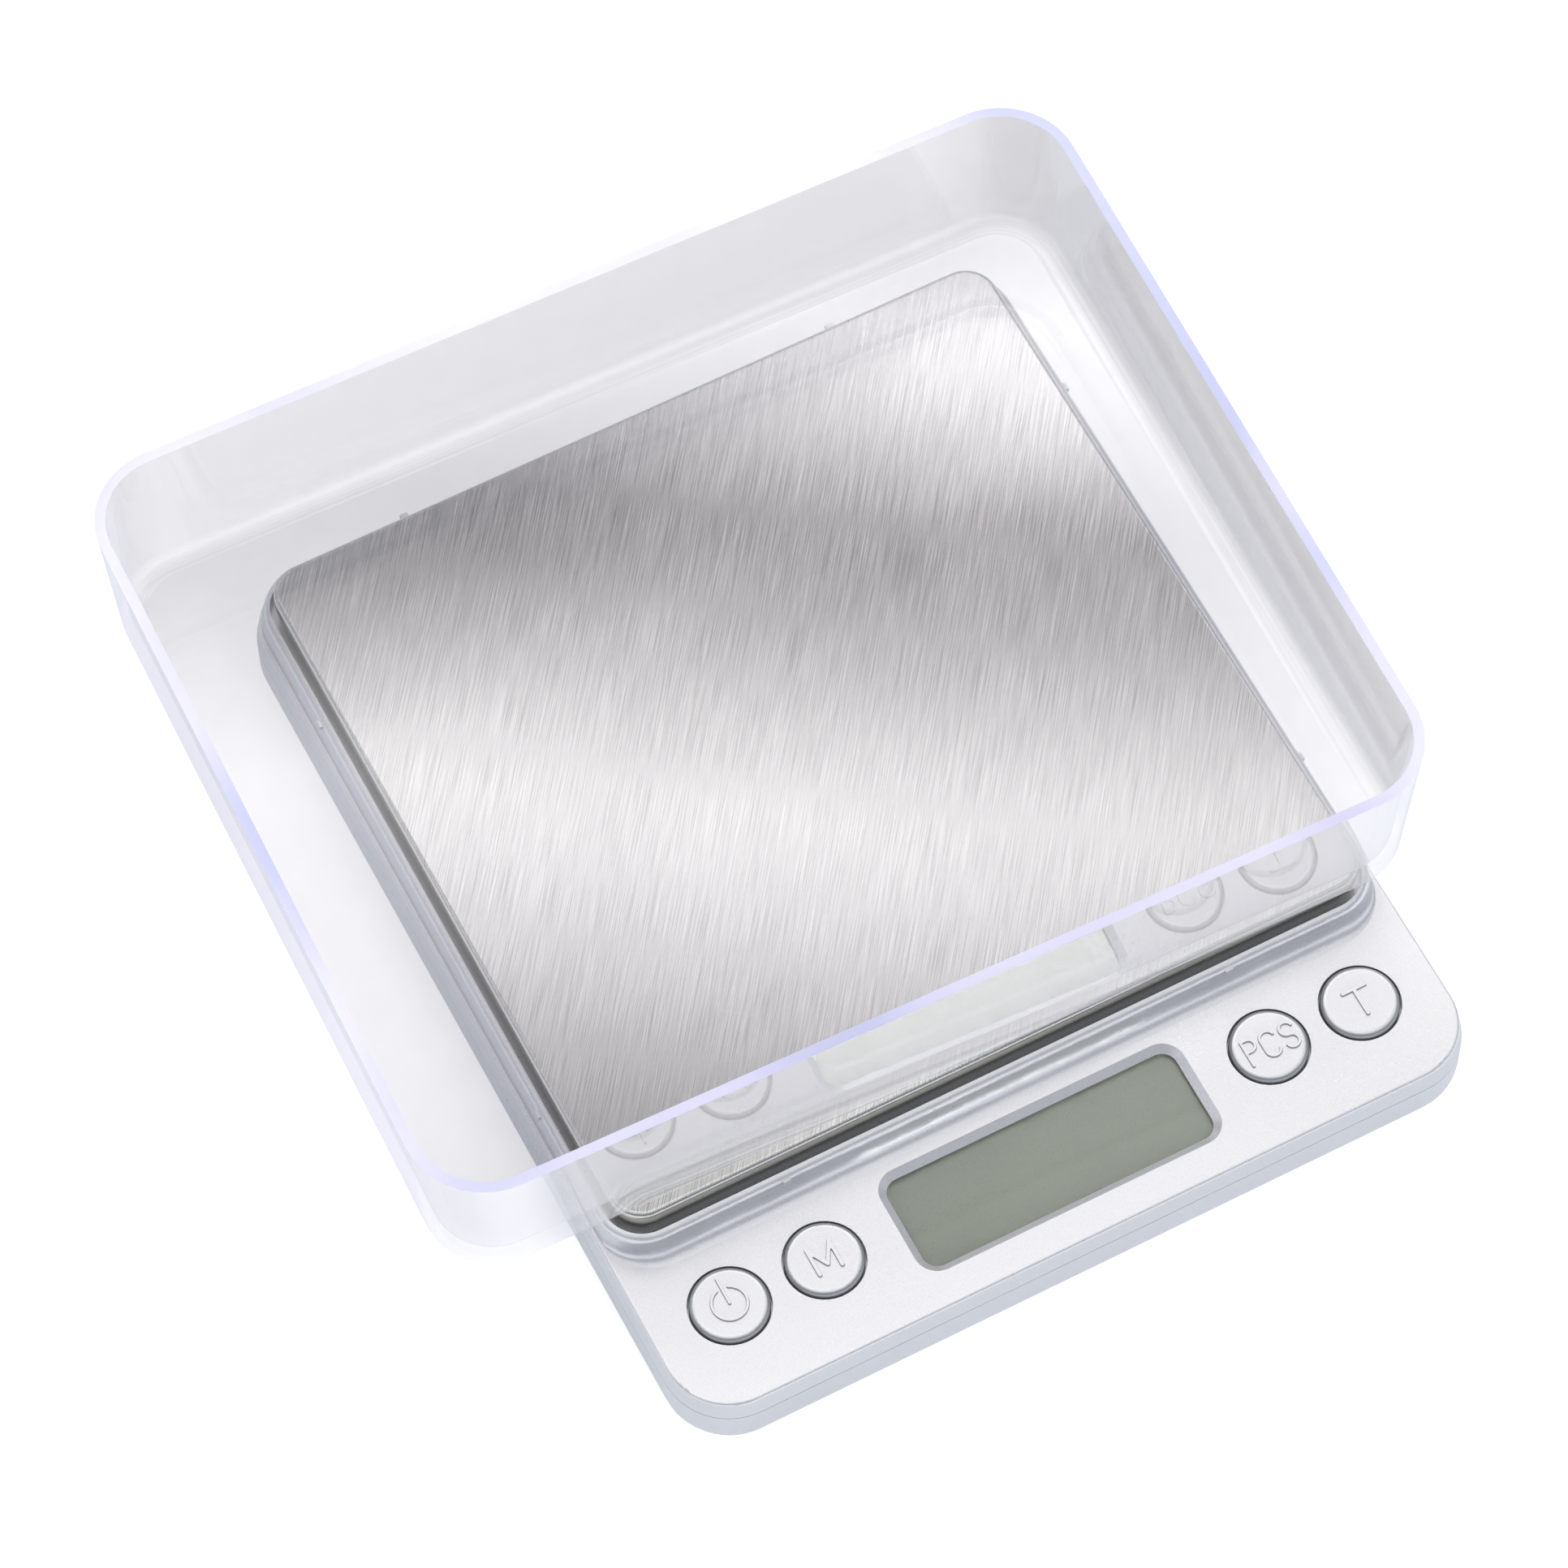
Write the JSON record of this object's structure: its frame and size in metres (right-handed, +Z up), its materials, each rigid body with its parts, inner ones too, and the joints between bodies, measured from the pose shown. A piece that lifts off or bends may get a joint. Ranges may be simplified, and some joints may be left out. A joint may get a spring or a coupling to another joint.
{
  "type": "kitchen scale",
  "caption": "Slim silver precision kitchen scale with a brushed steel platform, a display window, round push buttons and a clear rectangular weighing tray.",
  "frame": {"origin": "middle of the outline of the scale with its tray set on it, on the plane the rubber feet stand on", "axes": "+Z up, -Y towards the control panel at the front, +X to the right of someone facing the panel"},
  "size_m": [0.1334, 0.1332, 0.0422],
  "materials": {
    "silver_shell": "satin silver paint on moulded plastic, fine grain",
    "silver_button": "satin silver paint, slightly darker rim",
    "platform_steel": "stainless steel brushed along its length",
    "dark_plastic": "matt charcoal plastic",
    "clear_tray": "clear polystyrene, polished",
    "clear_window": "clear acrylic window",
    "lcd_glass": "grey-green reflective display glass, blank",
    "light_plastic": "off-white moulded plastic",
    "black_rubber": "soft black rubber",
    "white_sealant": "white silicone sealant",
    "foam": "grey adhesive foam",
    "board_green": "green solder mask",
    "black_resin": "cast black resin",
    "component": "small moulded components",
    "switch_black": "black moulded switch bodies",
    "switch_cap": "ivory switch plungers",
    "bare_aluminium": "machined aluminium",
    "plated_steel": "bright zinc-plated steel",
    "nickel_strip": "nickel-plated spring steel",
    "cell_jacket": "plain dark blue printed film, no lettering",
    "wire_sleeve": "red insulated wire",
    "wire_sleeve_fine": "fine insulated gauge wire"
  },
  "bodies": {
    "base": {"top_cover": "silver_shell", "bottom_case": "silver_shell", "lcd_window": "clear_window", "lcd_panel": "lcd_glass", "lcd_frame": "light_plastic", "lcd_connector": "black_rubber", "switch_bodies": "switch_black", "circuit_board": "board_green", "chip_cover": "black_resin", "board_parts": "component", "board_screws": "plated_steel", "load_cell": "bare_aluminium", "gauge_covers": "white_sealant", "base_spacer": "plated_steel", "load_cell_base_screws": "plated_steel", "overload_screw": "plated_steel", "battery_1": "cell_jacket", "battery_2": "cell_jacket", "battery_contacts": "nickel_strip", "battery_springs": "nickel_strip", "rubber_feet": "black_rubber", "case_screws": "plated_steel", "gauge_wires": "wire_sleeve_fine", "battery_wires": "wire_sleeve"},
    "platform": {"platform_plate": "platform_steel", "platform_carrier": "dark_plastic", "plate_pads": "foam", "carrier_spacer": "plated_steel", "load_cell_carrier_screws": "plated_steel"},
    "power_button": {"button_power": "silver_button", "plunger_power": "switch_cap"},
    "mode_button": {"button_mode": "silver_button", "plunger_mode": "switch_cap"},
    "pieces_button": {"button_pieces": "silver_button", "plunger_pieces": "switch_cap"},
    "tare_button": {"button_tare": "silver_button", "plunger_tare": "switch_cap"},
    "tray": {"tray": "clear_tray"},
    "battery_door": {"battery_door": "silver_shell"}
  },
  "joints": [
    {"name": "platform_press", "type": "slide", "parent": "base", "child": "platform", "axis": [0, 0, 1], "range_m": [-0.0004, 0], "stiffness_N_per_m": 6000, "springref_m": 0.0004, "deforming": ["load_cell"]},
    {"name": "power_press", "type": "slide", "parent": "base", "child": "power_button", "axis": [0, 0, 1], "range_m": [-0.0004, 0], "stiffness_N_per_m": 400, "springref_m": 0.0004},
    {"name": "mode_press", "type": "slide", "parent": "base", "child": "mode_button", "axis": [0, 0, 1], "range_m": [-0.0004, 0], "stiffness_N_per_m": 400, "springref_m": 0.0004},
    {"name": "pieces_press", "type": "slide", "parent": "base", "child": "pieces_button", "axis": [0, 0, 1], "range_m": [-0.0004, 0], "stiffness_N_per_m": 400, "springref_m": 0.0004},
    {"name": "tare_press", "type": "slide", "parent": "base", "child": "tare_button", "axis": [0, 0, 1], "range_m": [-0.0004, 0], "stiffness_N_per_m": 400, "springref_m": 0.0004},
    {"name": "tray_lift", "type": "slide", "parent": "platform", "child": "tray", "axis": [0, 0, 1], "range_m": [0, 0.06]},
    {"name": "battery_door_slide", "type": "slide", "parent": "base", "child": "battery_door", "axis": [0, 1, 0], "range_m": [0, 0.028]}
  ]
}
